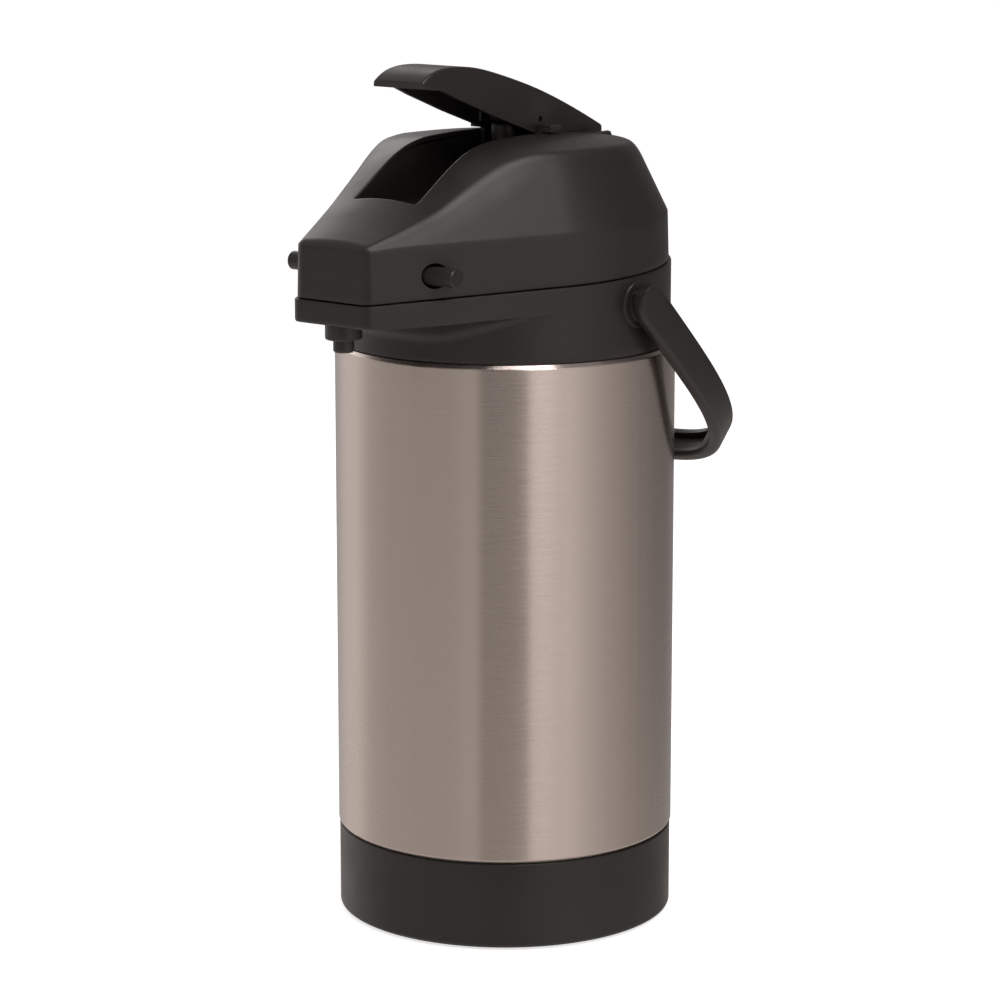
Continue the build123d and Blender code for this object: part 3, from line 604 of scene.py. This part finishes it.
def make_collar(materials):
    """Collar with the nose: its wall ends in a rounded edge, then a cove sweeps down to the neck."""
    outer = COLLAR_OUTLINE.loop(0)
    seam = SEAM_HEIGHT + SEAM_SLOPE * outer[:, 1]
    angle = np.arctan2(outer[:, 1], outer[:, 0])
    neck = COLLAR_OUTLINE.radius * np.column_stack([np.cos(angle), np.sin(angle)])
    gap = np.hypot(*(outer - neck).T)
    rise = np.clip((outer[:, 1] + 105) / 65, 0, 1)
    edge = NOSE_FLOOR + 2.4 * rise * rise * (3 - 2 * rise)
    depth = 1.2 + (COVE_DEPTH - 1.2) * (1 - np.exp(-gap / COVE_SPREAD))
    round_off = np.clip(gap / 8, 0, 1)
    rows = [with_height(COLLAR_OUTLINE.loop(-3), seam), with_height(COLLAR_OUTLINE.loop(-0.5), seam),
            with_height(COLLAR_OUTLINE.loop(-0.13), seam - 0.13)]
    for share in np.linspace(0, 1, 8):
        rows.append(with_height(outer, seam - 0.5 + share * (edge + 1.4 - seam + 0.5)))

    def inward(distance):
        """The outline moved towards the neck, along the line between the two."""
        share = np.clip(distance / np.maximum(gap, 0.01), 0, 1)[:, None]
        return outer + share * (neck - outer)
    for down, into in ((0.75, 0.18), (1.2, 0.5), (1.4, 1.1)):
        rows.append(with_height(inward(into * round_off), edge + 1.4 - down))
    width = np.minimum(np.maximum(gap - 1.6, 0), COVE_WIDTH)
    flat_start, flat_end = 1.6 * round_off, gap - width
    for share in (0.0, 0.5, 1.0):
        flat = inward(flat_start + share * (flat_end - flat_start))
        rows.append(with_height(flat, edge - 0.02 - 0.02 * share))
    for a in np.linspace(0, pi / 2, 18)[1:]:
        rows.append(with_height(inward(gap - width * (1 - sin(a))), edge - 0.05 - depth * (1 - cos(a))))
    low = edge - 0.05 - depth
    for share in np.linspace(0, 1, 6)[1:]:
        rows.append(with_height(neck, low + share * (COLLAR_FOOT + 0.6 - low)))
    unit = neck / COLLAR_OUTLINE.radius
    foot = COLLAR_OUTLINE.radius
    for radius, height in ((foot - 0.17, COLLAR_FOOT + 0.17), (foot - 0.6, COLLAR_FOOT),
                           (FLANGE_INSIDE, COLLAR_FOOT), (FLANGE_INSIDE, COLLAR_FOOT + 3),
                           (NECK_INSIDE, COLLAR_FOOT + 3), (NECK_INSIDE, NOSE_FLOOR + 3)):
        rows.append(with_height(radius * unit, height))
    rows.append(with_height(COLLAR_OUTLINE.loop(-3.2), NOSE_FLOOR + 3.2))
    collar = skin("collar_moulding", rows)
    finish_piece(collar, "pot", "black_plastic", materials, "collar")
    for side, name in ((1, "right"), (-1, "left")):
        boss = lathe("handle_boss_" + name, (0, HANDLE_Y, HANDLE_Z), (side, 0, 0),
                     BOSS_OUTLINE)
        finish_piece(boss, "pot", "black_plastic", materials)
        ends = sorted((side * COLLAR_KNUCKLE[0], side * COLLAR_KNUCKLE[1]))
        knuckle = plate("collar_knuckle_" + name, knuckle_outline(up=False), *ends, KNUCKLE_BEVEL)
        finish_piece(knuckle, "pot", "black_plastic", materials)


# --- shapes: the bail handle -------------------------------------------------------------------
HANDLE_DROP = radians(43.5)
BAIL_HALF, BAIL_DEPTH, BAIL_POWER = 86.6, 124.2, 4.0
BAIL_THICK, BAIL_WIDTH, GRIP_WIDTH, BAIL_ROUND = 6.8, 19.4, 16.4, 2.3
CHANNEL_HALF, CHANNEL_DEPTH, CHANNEL_REACH, CHANNEL_FADE = 4.3, 3.4, 60.0, 2.5


def bail_path():
    """Centre line of the bail as (across, along) points, from past one pivot round to past the other."""
    boss = BAIL_WIDTH / 2
    start = [(BAIL_HALF, -boss * cos(a)) for a in np.linspace(0.06, pi / 2, 14, endpoint=False)]
    arch = []
    for a in np.linspace(0.02, pi - 0.02, 150):
        across = abs(cos(a)) ** (2 / BAIL_POWER) * BAIL_HALF
        arch.append((across if a < pi / 2 else -across, sin(a) ** (2 / BAIL_POWER) * BAIL_DEPTH))
    return np.array(start + arch + [(-x, y) for x, y in reversed(start)])


def section(width, channel):
    """Rounded section of the bail, as (outwards, across the width), with a channel in its inner face."""
    thick, half, r = BAIL_THICK / 2, width / 2, min(BAIL_ROUND, width / 2.2)
    points = []
    for corner_u, corner_w, start in ((1, 1, 0), (-1, 1, 1), (-1, -1, 2), (1, -1, 3)):
        for a in np.linspace(start * pi / 2, (start + 1) * pi / 2, 7):
            points.append((corner_u * (thick - r) + r * cos(a), corner_w * (half - r) + r * sin(a)))
        if start == 1:
            lip = min(CHANNEL_HALF, half * 0.6)
            for w, sunk in ((lip + 0.5, 0), (lip, 0.4), (lip - 0.3, 1), (0, 1), (0.3 - lip, 1), (-lip, 0.4),
                            (-lip - 0.5, 0)):
                points.append((-thick + sunk * channel, w))
    return points


def make_handle(materials):
    path = bail_path()
    ahead = np.gradient(path, axis=0)
    ahead /= np.linalg.norm(ahead, axis=1)[:, None]
    along = Vector((0, cos(HANDLE_DROP), -sin(HANDLE_DROP)))
    up = Vector((0, sin(HANDLE_DROP), cos(HANDLE_DROP)))
    rows = []
    for (across, reach), (da, dr) in zip(path.tolist(), ahead.tolist()):
        width = BAIL_WIDTH + (GRIP_WIDTH - BAIL_WIDTH) * min(1, max(0, reach / BAIL_DEPTH))
        if reach < 0:
            width = 2 * max(0.05, (BAIL_WIDTH / 2) ** 2 - reach ** 2) ** 0.5
        fade = min(1, max(0, (CHANNEL_REACH - abs(across)) / CHANNEL_FADE)) if reach > BAIL_DEPTH / 2 else 0
        centre = Vector((across, HANDLE_Y, HANDLE_Z)) + reach * along
        outwards = dr * Vector((1, 0, 0)) - da * along
        rows.append([centre + u * outwards + w * up for u, w in section(width, fade * CHANNEL_DEPTH)])
    handle = skin("bail_handle", rows, closed=False)
    finish_piece(handle, "handle", "handle_plastic", materials, "handle")


# --- making ------------------------------------------------------------------------------------
make_camera()
make_world()
make_floor()
for softbox in SOFTBOXES:
    make_softbox(*softbox)
bpy.context.scene.view_settings.view_transform = "Standard"
finishes = make_materials()
paint_nodes(finishes)
make_lid(finishes)
make_collar(finishes)
make_handle(finishes)
